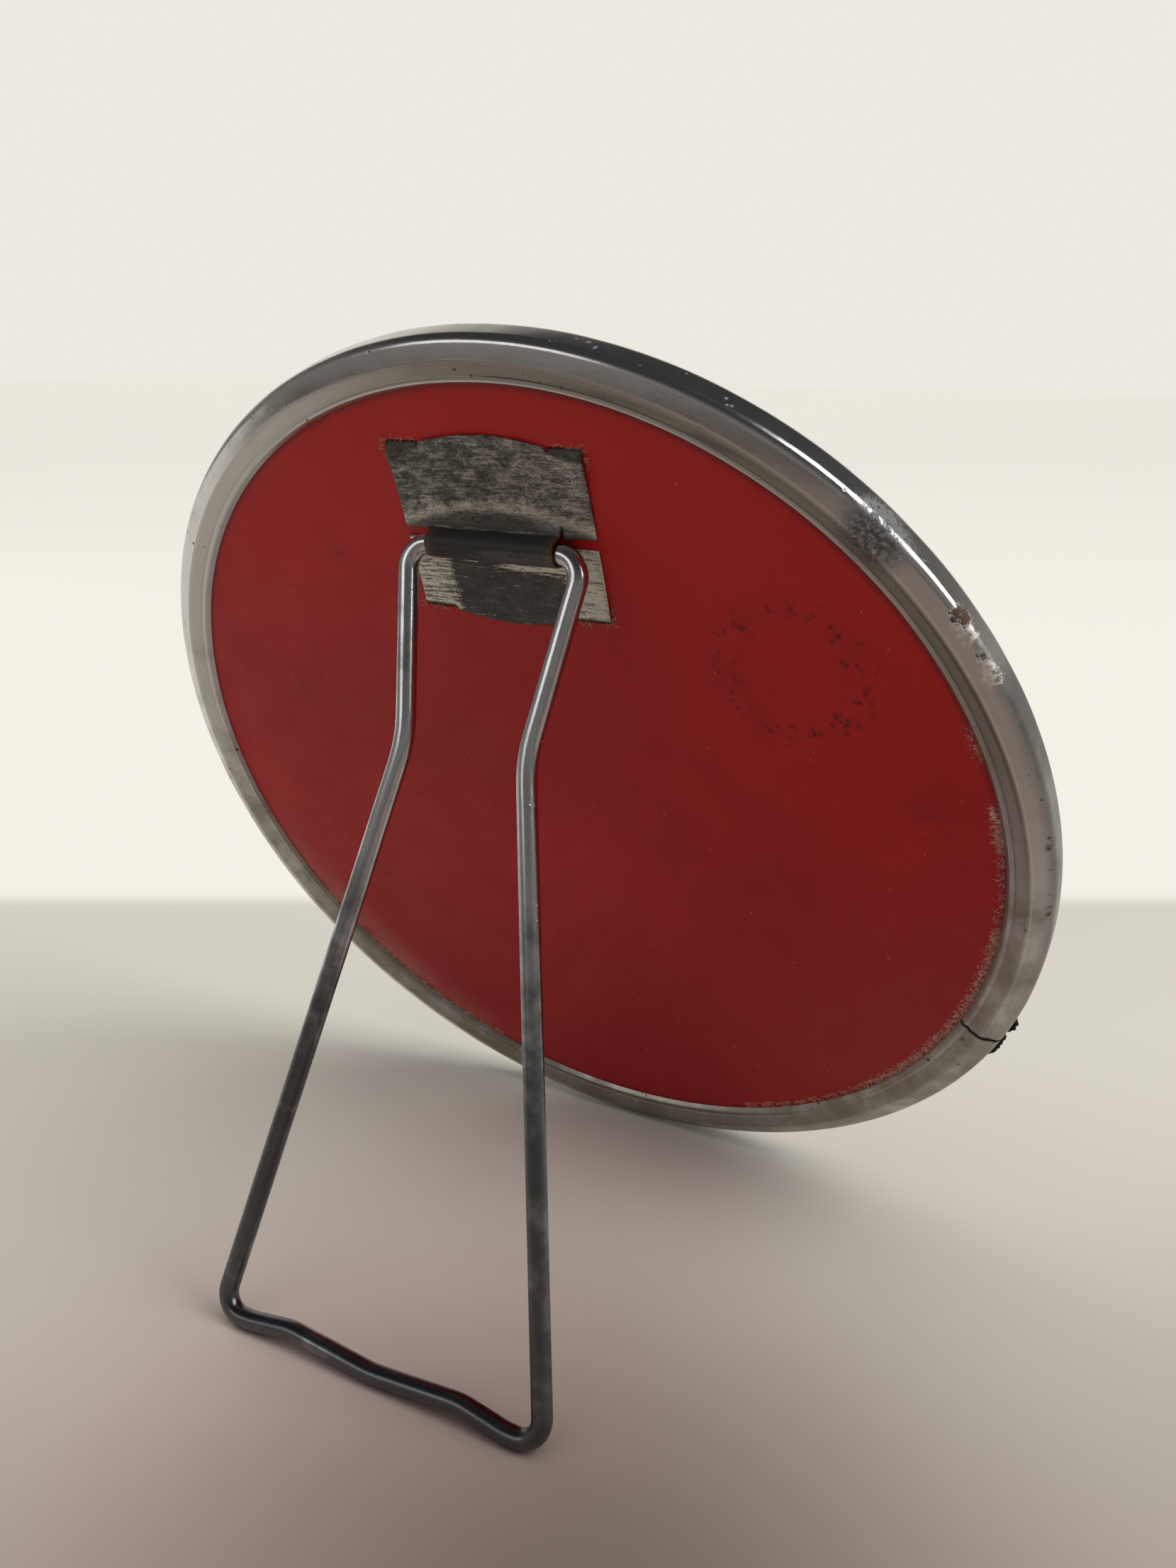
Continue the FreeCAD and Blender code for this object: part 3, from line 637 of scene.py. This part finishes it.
def run_recipe(carrier, recipe, values, name):
    """Run a node tree on a carrier object and keep what it makes as a plain mesh; the carrier goes."""
    dress = carrier.modifiers.new("recipe", "NODES")
    dress.node_group = recipe
    for item in recipe.interface.items_tree:
        if item.item_type == "SOCKET" and item.in_out == "INPUT" and item.name in values:
            dress[item.identifier] = values[item.name]
    bpy.context.view_layer.update()
    ready = carrier.evaluated_get(bpy.context.evaluated_depsgraph_get())
    mesh = bpy.data.meshes.new_from_object(ready)
    mesh.name = name
    bpy.data.objects.remove(carrier)
    return mesh


# ---------------------------------------------------------------- node trees that make geometry

class Recipe:
    """A Geometry Nodes tree under construction, with named inputs."""

    def __init__(self, name, inputs):
        self.tree = bpy.data.node_groups.new(name, "GeometryNodeTree")
        face = self.tree.interface
        face.new_socket("Geometry", in_out="INPUT", socket_type="NodeSocketGeometry")
        for title, kind, value in inputs:
            socket = face.new_socket(title, in_out="INPUT", socket_type="NodeSocket" + kind)
            if value is not None:
                socket.default_value = value
        face.new_socket("Geometry", in_out="OUTPUT", socket_type="NodeSocketGeometry")
        self.given = self.tree.nodes.new("NodeGroupInput").outputs

    def add(self, kind, values=(), **settings):
        made = self.tree.nodes.new(kind)
        for key, value in settings.items():
            setattr(made, key, value)
        for key, value in dict(values).items():
            if isinstance(value, bpy.types.NodeSocket):
                self.tree.links.new(value, made.inputs[key])
            else:
                made.inputs[key].default_value = value
        return made

    def finish(self, geometry):
        """Make instances real, give the material and end the tree."""
        real = self.add("GeometryNodeRealizeInstances", {"Geometry": geometry}).outputs[0]
        dressed = self.add("GeometryNodeSetMaterial", {"Geometry": real, "Material": self.given["Finish"]})
        end = self.tree.nodes.new("NodeGroupOutput")
        self.tree.links.new(dressed.outputs[0], end.inputs[0])
        return self.tree


def sweep_recipe():
    """Sweep a section along a path, then let the surface wander a little, as rolled and bent metal does."""
    r = Recipe("sweep_section", [
        ("Section", "Object", None), ("Step", "Float", 1.0), ("Ripple", "Float", 0.02),
        ("Ripple Scale", "Float", 0.1), ("Finish", "Material", None)])
    even = r.add("GeometryNodeResampleCurve", {"Curve": r.given["Geometry"], "Length": r.given["Step"]},
                 mode="LENGTH")
    path = r.add("GeometryNodeSetCurveNormal", {"Curve": even.outputs[0]}, mode="Z_UP")
    section = r.add("GeometryNodeObjectInfo", {"Object": r.given["Section"]}).outputs["Geometry"]
    body = r.add("GeometryNodeCurveToMesh", {"Curve": path.outputs[0], "Profile Curve": section,
                                             "Fill Caps": True}).outputs[0]
    where = r.add("GeometryNodeInputPosition").outputs[0]
    wander = r.add("ShaderNodeTexNoise", {"Vector": where, "Scale": r.given["Ripple Scale"], "Detail": 1.0})
    centred = r.add("ShaderNodeMath", {0: wander.outputs[0], 1: 0.5}, operation="SUBTRACT").outputs[0]
    height = r.add("ShaderNodeMath", {0: centred, 1: r.given["Ripple"]}, operation="MULTIPLY").outputs[0]
    normal = r.add("GeometryNodeInputNormal").outputs[0]
    move = r.add("ShaderNodeVectorMath", {0: normal, "Scale": height}, operation="SCALE").outputs[0]
    moved = r.add("GeometryNodeSetPosition", {"Geometry": body, "Offset": move}).outputs[0]
    return r.finish(moved)


def scatter_recipe():
    """Scatter short tapered fibres over a surface, lying along it and turned every way."""
    r = Recipe("scatter_fibres", [
        ("Per Square Millimetre", "Float", 4.0), ("Length", "Float", 0.8), ("Thickness", "Float", 0.05),
        ("Lift", "Float", 0.5), ("Seed", "Int", 7), ("Finish", "Material", None)])
    seed = r.given["Seed"]
    spread = r.add("GeometryNodeDistributePointsOnFaces", {
        "Mesh": r.given["Geometry"], "Density": r.given["Per Square Millimetre"], "Seed": seed})
    fibre = r.add("GeometryNodeMeshCone", {
        "Vertices": 5, "Side Segments": 3, "Radius Top": 0.01, "Radius Bottom": r.given["Thickness"],
        "Depth": r.given["Length"]})
    tip = r.add("FunctionNodeRandomValue", {"Min": 1.2, "Max": 1.75, "Seed": seed}, data_type="FLOAT")
    spin = r.add("FunctionNodeRandomValue", {"Min": 0.0, "Max": math.tau, "Seed": seed}, data_type="FLOAT")
    size = r.add("FunctionNodeRandomValue", {"Min": 0.35, "Max": 1.25, "Seed": seed}, data_type="FLOAT")
    leaning = r.add("ShaderNodeMath", {0: tip.outputs[1], 1: r.given["Lift"]}, operation="SUBTRACT")
    angles = r.add("ShaderNodeCombineXYZ", {0: leaning.outputs[0], 2: spin.outputs[1]})
    turn = r.add("FunctionNodeEulerToRotation", {0: angles.outputs[0]})
    lie = r.add("FunctionNodeRotateRotation", {0: spread.outputs["Rotation"], 1: turn.outputs[0]},
                rotation_space="LOCAL")
    placed = r.add("GeometryNodeInstanceOnPoints", {
        "Points": spread.outputs["Points"], "Instance": fibre.outputs["Mesh"],
        "Rotation": lie.outputs[0], "Scale": size.outputs[1]})
    return r.finish(placed.outputs[0])


def sweep(path, outline, values, finish, name):
    """The plain mesh that a closed outline makes when it is swept along an open path."""
    section = curve_object("section", [(p.x, p.y, 0.0) for p in outline], True)
    carrier = curve_object("path", path, False)
    mesh = run_recipe(carrier, sweep_recipe(), {**values, "Section": section, "Finish": finish}, name)
    bpy.data.objects.remove(section)
    return mesh


# ---------------------------------------------------------------- rim

def rim_skin(inside):
    """Corners (x, y, radius) of one skin of the rim, so far inside its outer face, from lip to lip."""
    crest = STACK_HALF + CREST_HEIGHT - inside
    lip = -RIM_WIDTH
    half = [
        (-inside, crest - SHOULDER_DROP, SHOULDER_RADIUS - inside),
        (-CREST_INSET, crest + CREST_BOW, CREST_RADIUS - inside),
    ]
    for run, drop, radius, more_run, more_rise, more_radius in LIP_BENDS:
        half.append((lip + run + inside * more_run, crest - drop + inside * more_rise,
                     radius + inside * more_radius))
    half.append((lip + inside, STACK_HALF + LIP_SPARE, 0))
    return [(x, -y, radius) for x, y, radius in half[::-1]] + half


def make_rim(finish):
    """The rolled channel, swept once round the disc from the seam back to it, its butted ends ragged."""
    turn = math.tau - SEAM_GAP
    steps = 360
    path = []
    for k in range(steps + 1):
        angle = SEAM_ANGLE + SEAM_GAP / 2 + turn * k / steps
        path.append(Vector((math.cos(angle), math.sin(angle), 0)) * (DISC_RADIUS - RIM_SPARE))
    outline = round_corners(rim_skin(0.0) + rim_skin(RIM_SHEET)[::-1], closed=True)
    mesh = sweep(path, outline, {"Step": 1.35, "Ripple": 0.10, "Ripple Scale": 0.11}, finish, "rim_ring")
    seam = Vector((math.cos(SEAM_ANGLE), math.sin(SEAM_ANGLE)))
    tangent = Vector((-seam.y, seam.x, 0))
    for vertex in mesh.vertices:
        place = vertex.co
        near = abs(place.xy.angle_signed(seam)) * DISC_RADIUS
        if near < TEAR_RUN:
            ragged = noise.noise(Vector((place.xy.length * 0.8, place.z * 0.8, 4.0)))
            fine = noise.noise(Vector((place.xy.length * 3.0, place.z * 3.0, 9.0)))
            vertex.co += tangent * (0.5 * ragged + 0.16 * fine) * (1 - near / TEAR_RUN)
    return mesh_object("rim_ring", mesh, finish, DISC_TO_WORLD @ Matrix.Translation((0, 0, STACK_HALF)))


def make_tags(finish):
    """What is left of two solder tags beside the seam: low torn flaps standing off the rim's outer wall."""
    bm = bmesh.new()
    steps, across = 26, 5
    for start, run, reach, seed in TAGS:
        rows = []
        for k in range(steps + 1):
            t = k / steps
            angle = start + run * t / DISC_RADIUS
            jag = noise.noise(Vector((t * 6.0, seed, 0))) * 0.35
            jag += noise.noise(Vector((t * 19.0, seed, 5))) * 0.2
            top = reach * (0.62 + jag) * math.sin(math.pi * (0.06 + 0.88 * t)) ** 0.4
            sway = 0.7 + 0.5 * noise.noise(Vector((t * 4.0, seed, 2)))
            row = []
            for j in range(across + 1):
                s = j / across
                radius = DISC_RADIUS + min((max(top, 0.05) + TAG_ROOT) * s - TAG_ROOT, TAG_REACH - 0.05)
                level = (0.35 - 0.9 * s * s) * sway
                row.append(bm.verts.new((radius * math.cos(angle), radius * math.sin(angle), level)))
            rows.append(row)
        grid_faces(bm, rows)
    bmesh.ops.recalc_face_normals(bm, faces=bm.faces)
    place = DISC_TO_WORLD @ Matrix.Translation((0, 0, STACK_HALF))
    return thicken(mesh_object("seam_tags", mesh_from(bm, "seam_tags"), finish, place), TAG_SHEET, 0.0)


# ---------------------------------------------------------------- wire stand

def make_wire(finish):
    """One length of round wire: its ends meet in the barrel and its foot bar is slightly waved."""
    right = [
        (WIRE_GAP / 2, 0, 0),
        (LEG_TOP, 0, BEND_RADIUS),
        (WAIST_HALF, -WAIST_DROP, WAIST_RADIUS),
        (FOOT_HALF, -STAND_LENGTH, BEND_RADIUS),
        (WAVE_HALF + WAVE_RUN, -STAND_LENGTH, WAVE_RADIUS),
        (WAVE_HALF, -STAND_LENGTH + WAVE_HEIGHT, WAVE_RADIUS),
    ]
    corners = right + [(0, -STAND_LENGTH, WAIST_RADIUS)] + [(-x, y, radius) for x, y, radius in right[::-1]]
    path = [(p.x, p.y, 0.0) for p in round_corners(corners)]
    sides = 28
    turns = [math.tau * k / sides for k in range(sides)]
    ring = [Vector((math.cos(turn), math.sin(turn))) * (WIRE_RADIUS - WIRE_SPARE) for turn in turns]
    mesh = sweep(path, ring, {"Step": 0.6, "Ripple": 0.035, "Ripple Scale": 0.22}, finish, "stand_bail")
    return mesh_object("stand_bail", mesh, finish, STAND_TO_WORLD, math.radians(50))


# ---------------------------------------------------------------- hinge plate

def barrel_line():
    """The barrel's outer skin from the side: (y, height off the paper) from the lower leaf to the upper."""
    crest = HINGE_OUT + BARREL_RADIUS
    corners = [
        (-BARREL_RADIUS, PLATE_SHEET, 0),
        (-BARREL_RADIUS, crest, BARREL_RADIUS),
        (BARREL_RADIUS, crest, RIDGE_RADIUS),
        (BARREL_RADIUS + RIDGE_LEAN, crest * RIDGE_FOOT, LEAF_SWEEP_RADIUS),
        (BARREL_RADIUS + LEAF_SWEEP, PLATE_SHEET, 0),
    ]
    return [(p.x, p.y) for p in round_corners(corners)]


def leaf_warp(x, y):
    """How far the worn leaf stands off its flat, in mm."""
    soft = noise.noise(Vector((x * 0.12, y * 0.16, 3.0))) * 0.16
    small = noise.noise(Vector((x * 0.5, y * 0.6, 8.0))) * 0.035
    curl = 0.0
    if y > 0:
        # the corners beside the barrel were lifted when the wire was sprung in
        across = math.exp(-((abs(x) - CURL_X) ** 2) / 1.6)
        up = math.exp(-max(0.0, y - CURL_Y) ** 2 / 2.4)
        curl = CURL_HEIGHT * across * up
    return max(0.0, soft + 0.06) + small * 0.5 + curl


def fold_share(x):
    """0 at a prong's inner end, 1 at the plate's outer edge."""
    return max(0.0, (abs(x) - BARREL_HALF) / (PLATE_HALF - BARREL_HALF))


def fold_run(x, way):
    """How far from its edge the leaf starts to roll down into the slot: more towards the outer edge."""
    return FOLD_RUN + FOLD_MORE[way] * fold_share(x)


def fold_lift(x, y, way):
    """The leaf stands off the paper a little before it rolls over."""
    run = 4.0
    start = LEAF_EDGE[way] - fold_run(x, way) - run
    return FOLD_LIFT[way] * fold_share(x) * smooth((way * y - start) / run)


def make_plate(finish):
    """Tinplate plate: two leaves, a barrel raised between their slits, and four prongs in the board."""
    bm = bmesh.new()
    low_end, high_end = -BARREL_RADIUS, BARREL_RADIUS + LEAF_SWEEP
    middle = [BARREL_HALF * (k / 24) for k in range(-24, 25)]
    left = [BARREL_HALF + (PLATE_HALF - BARREL_HALF) * k / 10 for k in range(11)]
    sides = (left, [-x for x in left[::-1]])

    def patch(columns, rows, point):
        """A grid of faces over columns of x, with rows running from 0 to 1; point gives (y, height)."""
        grid = []
        for x in columns:
            held = []
            for k in range(rows + 1):
                y, high = point(x, k / rows)
                held.append(bm.verts.new((x, y, -high)))
            grid.append(held)
        grid_faces(bm, grid)

    def flat(x, y):
        """A leaf, true beside the barrel and worn out of flat within a short run of it."""
        run = 2.5
        raised = PLATE_SHEET + fold_lift(x, y, 1 if y > 0 else -1)
        return y, raised + leaf_warp(x, y) * smooth(min(abs(y - low_end), abs(y - high_end)) / run)

    def crown(x):
        """How far a leaf's free edge bows out past its prongs."""
        return (LEAF_CROWN + 0.08 * noise.noise(Vector((x * 0.9, 1.0, 0)))) * (1 - (x / BARREL_HALF) ** 2)

    def rolled(x, way):
        """Where the flat of a leaf ends beside a prong."""
        return LEAF_EDGE[way] - fold_run(x, way)

    def edge(x, way):
        """The free edge between two prongs: it steps out from the prong's root, then follows the crown."""
        root = min(1.0, (BARREL_HALF - abs(x)) * 4) ** 0.5
        return rolled(x, way) + fold_run(x, way) * root + crown(x)

    line = barrel_line()

    def over_barrel(x, t):
        """Along the barrel's outline, pressed in a little here and there where it stands high."""
        place = t * (len(line) - 1)
        k = min(int(place), len(line) - 2)
        (y0, h0), (y1, h1) = line[k], line[k + 1]
        y, high = y0 + (y1 - y0) * (place - k), h0 + (h1 - h0) * (place - k)
        dent = 0.10 * abs(noise.noise(Vector((x * 0.35, y * 0.5, 1.0))))
        return y, high - dent * min(1.0, (high - PLATE_SHEET) / HINGE_OUT)

    def prong(x, t, way):
        """From where the leaf starts to roll, over a round and down through the board's slot."""
        run = fold_run(x, way)
        start, high = flat(x, way * rolled(x, way))
        drop = 0.75 * run
        round_share = 0.7
        turn = min(1.0, t / round_share) * math.pi / 2
        leg = max(0.0, t - round_share) / (1 - round_share) * (PRONG_LEG - drop * 0.3)
        return start + way * run * math.sin(turn), high - drop * (1 - math.cos(turn)) - leg

    patch(middle, 20, lambda x, t: flat(x, -edge(x, -1) + (low_end + edge(x, -1)) * t))
    patch(middle, 22, lambda x, t: flat(x, high_end + (edge(x, 1) - high_end) * t))
    patch(middle, len(line) - 1, over_barrel)
    for columns in sides:
        patch(columns, 20, lambda x, t: flat(x, -rolled(x, -1) + (low_end + rolled(x, -1)) * t))
        patch(columns, 22, lambda x, t: flat(x, high_end + (rolled(x, 1) - high_end) * t))
        patch(columns, 5, lambda x, t: flat(x, low_end + (-SLIT_BELOW - low_end) * t))
        patch(columns, 5, lambda x, t: flat(x, SLIT_ABOVE + (high_end - SLIT_ABOVE) * t))
        patch(columns, 12, lambda x, t: prong(x, t, 1))
        patch(columns, 12, lambda x, t: prong(x, t, -1))
    bmesh.ops.remove_doubles(bm, verts=bm.verts, dist=0.002)
    bmesh.ops.recalc_face_normals(bm, faces=bm.faces)
    top = max(bm.faces, key=lambda face: -face.calc_center_median().z)
    if top.normal.z > 0:
        bmesh.ops.reverse_faces(bm, faces=bm.faces)
    mesh = mesh_from(bm, "hinge_sheet")
    # a hair thinner than the sheet, so that its underside clears the paper
    return thicken(mesh_object("hinge_sheet", mesh, finish, PLATE_TO_WORLD, math.radians(40)),
                   PLATE_SHEET * 0.98, -1.0)


# ---------------------------------------------------------------- torn paper

def make_fibres(finish):
    """Short loose fibres where the prongs cut the paper and where the rim has rubbed its edge."""
    bm = bmesh.new()
    off_paper = 0.03

    def strip(corners):
        bm.faces.new([bm.verts.new((x, y, -off_paper)) for x, y in corners])

    def box(side, start, end, low, high):
        """A strip to one side of the plate's middle line, between two distances from it."""
        near, far = HINGE_X + side * start, HINGE_X + side * end
        strip(((near, low), (far, low), (far, high), (near, high)))

    for side in (-1, 1):
        for way in (1, -1):
            slot = HINGE_Y + way * LEAF_EDGE[way]
            box(side, BARREL_HALF + 0.2, PLATE_HALF + 0.1, slot + way * 0.1, slot + way * 0.6)
            # the slots' outer ends are torn most
            box(side, PLATE_HALF + 0.15, PLATE_HALF + 0.9, slot - way * 2.6, slot + way * 0.6)
    outer = DISC_RADIUS - RIM_WIDTH - 0.1
    inner = outer - 1.2
    # where the rim has rubbed, in degrees from +x
    for first, last in ((172, 250), (292, 330)):
        for degree in range(first, last, 3):
            a, b = math.radians(degree), math.radians(degree + 2.4)
            ring = ((inner, a), (inner, b), (outer, b), (outer, a))
            strip([(radius * math.cos(turn), radius * math.sin(turn)) for radius, turn in ring])
    bmesh.ops.recalc_face_normals(bm, faces=bm.faces)
    for face in bm.faces:
        if face.normal.z > 0:
            face.normal_flip()
    carrier = link_object("fibre_ground", mesh_from(bm, "fibre_ground"))
    values = {"Per Square Millimetre": 9.0, "Length": 0.75, "Thickness": 0.052, "Lift": 0.25, "Seed": 11,
              "Finish": finish}
    mesh = run_recipe(carrier, scatter_recipe(), values, "paper_fibres")
    return mesh_object("paper_fibres", mesh, finish, DISC_TO_WORLD)


# ---------------------------------------------------------------- pieces

rim = make_rim(rim_finish())
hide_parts("rim_channel")
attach(rim, "plaque")

tags = make_tags(tag_finish())
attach(tags, "plaque")

plate = make_plate(plate_finish())
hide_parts("hinge_plate")
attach(plate, "plaque")

fibres = make_fibres(fibre_finish())
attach(fibres, "plaque")

wire = make_wire(wire_finish())
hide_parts("wire_bail")
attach(wire, "stand")

board = board_finish()
NODE_FINISHES = {
    "face_glass": glass_finish(),
    "printed_card": card_finish(),
    "packing_sheet": board,
    "back_board": board,
    "cover_paper": paper_finish(),
}
for node, finish in NODE_FINISHES.items():
    materials = frame["nodes"][node].data.materials
    materials.clear()
    materials.append(finish)

# ---------------------------------------------------------------- floor, light and camera

CAMERA_PLACE = Vector((-0.10094, 0.16309, 0.14381))
CAMERA_TILT = math.radians(18.87)          # down from level
FLOOR_REACH, FLOOR_LEVEL = 3.0, -0.0001    # metres; just under the pieces that stand on it
LIT_PLACE = Vector((0, 0, 0.07))           # what the lamps point at

floor_mesh = bpy.data.meshes.new("floor")
floor_corners = [(x * FLOOR_REACH, y * FLOOR_REACH, FLOOR_LEVEL)
                 for x, y in ((-1, -1), (1, -1), (1, 1), (-1, 1))]
floor_mesh.from_pydata(floor_corners, [], [(0, 1, 2, 3)])
floor_mesh.materials.append(floor_finish())
floor = link_object("floor", floor_mesh)


def area_light(name, place, width, height, power, tint, mirrored=True):
    """A soft lamp that points at the object; one that isn't mirrored doesn't show in shiny metal."""
    data = bpy.data.lights.new(name, "AREA")
    data.shape = "RECTANGLE"
    data.size, data.size_y = width, height
    data.energy = power
    data.color = tint
    lamp = link_object(name, data)
    lamp.location = place
    lamp.rotation_euler = (LIT_PLACE - place).to_track_quat("-Z", "Y").to_euler()
    lamp.visible_glossy = mirrored


LEFT_HAND = Vector((-HEADING.y, HEADING.x, 0))
window_place = LIT_PLACE + Vector((-0.73, -0.10, 0.65)) * 1.1
area_light("window_light", window_place, 0.60, 0.80, 8.0, (1.0, 0.985, 0.96))
ceiling_place = Vector((0, 0, 1.2)) - HEADING * 0.2
area_light("ceiling_light", ceiling_place, 1.3, 1.3, 10.5, (1.0, 0.97, 0.93), mirrored=False)
room_place = LIT_PLACE + Vector((0.45, 0.745, 0.36)) * 1.5
area_light("room_light", room_place, 0.8, 0.4, 1.35, (1.0, 0.99, 0.98))
wall_place = (HEADING + LEFT_HAND) * 0.5 + Vector((0, 0, 0.25))
area_light("wall_bounce", wall_place, 0.5, 0.4, 1.2, (1.0, 0.98, 0.94), mirrored=False)


def make_room():
    """Surroundings: a bright pale wall ahead of the camera, a dark ceiling and a dim room behind it."""
    world = bpy.data.worlds.new("room")
    world.use_nodes = True
    tree = world.node_tree
    way = tree.nodes.new("ShaderNodeTexCoord").outputs["Generated"]
    shown = tree.nodes.new("ShaderNodeRGB").outputs[0]
    shown.default_value = (0.25, 0.24, 0.22, 1)
    # (direction, where it starts, where it is full, colour there)
    for direction, low, high, colour in (
            ((0, 0, 1), 0.15, 0.75, (0.055, 0.055, 0.058, 1)),
            ((HEADING.x, HEADING.y, -0.3), 0.45, 0.84, (0.85, 0.815, 0.745, 1))):
        facing = tree.nodes.new("ShaderNodeVectorMath")
        facing.operation = "DOT_PRODUCT"
        facing.inputs[1].default_value = direction
        tree.links.new(way, facing.inputs[0])
        fade = tree.nodes.new("ShaderNodeMapRange")
        fade.interpolation_type = "SMOOTHSTEP"
        fade.inputs[1].default_value, fade.inputs[2].default_value = low, high
        tree.links.new(facing.outputs["Value"], fade.inputs[0])
        tint = tree.nodes.new("ShaderNodeMix")
        tint.data_type = "RGBA"
        tint.inputs[7].default_value = colour
        tree.links.new(shown, tint.inputs[6])
        tree.links.new(fade.outputs[0], tint.inputs[0])
        shown = tint.outputs[2]
    tree.links.new(shown, tree.nodes["Background"].inputs["Color"])
    bpy.context.scene.world = world


make_room()
bpy.context.scene.view_settings.view_transform = "Standard"

lens = bpy.data.cameras.new("camera")
lens.sensor_fit = "VERTICAL"
lens.sensor_height = 36.0
lens.lens = 30.92
lens.clip_start = 0.005
camera = link_object("camera", lens)
camera.location = CAMERA_PLACE
gaze = HEADING * math.cos(CAMERA_TILT) - Vector((0, 0, math.sin(CAMERA_TILT)))
camera.rotation_euler = gaze.to_track_quat("-Z", "Y").to_euler()
bpy.context.scene.camera = camera
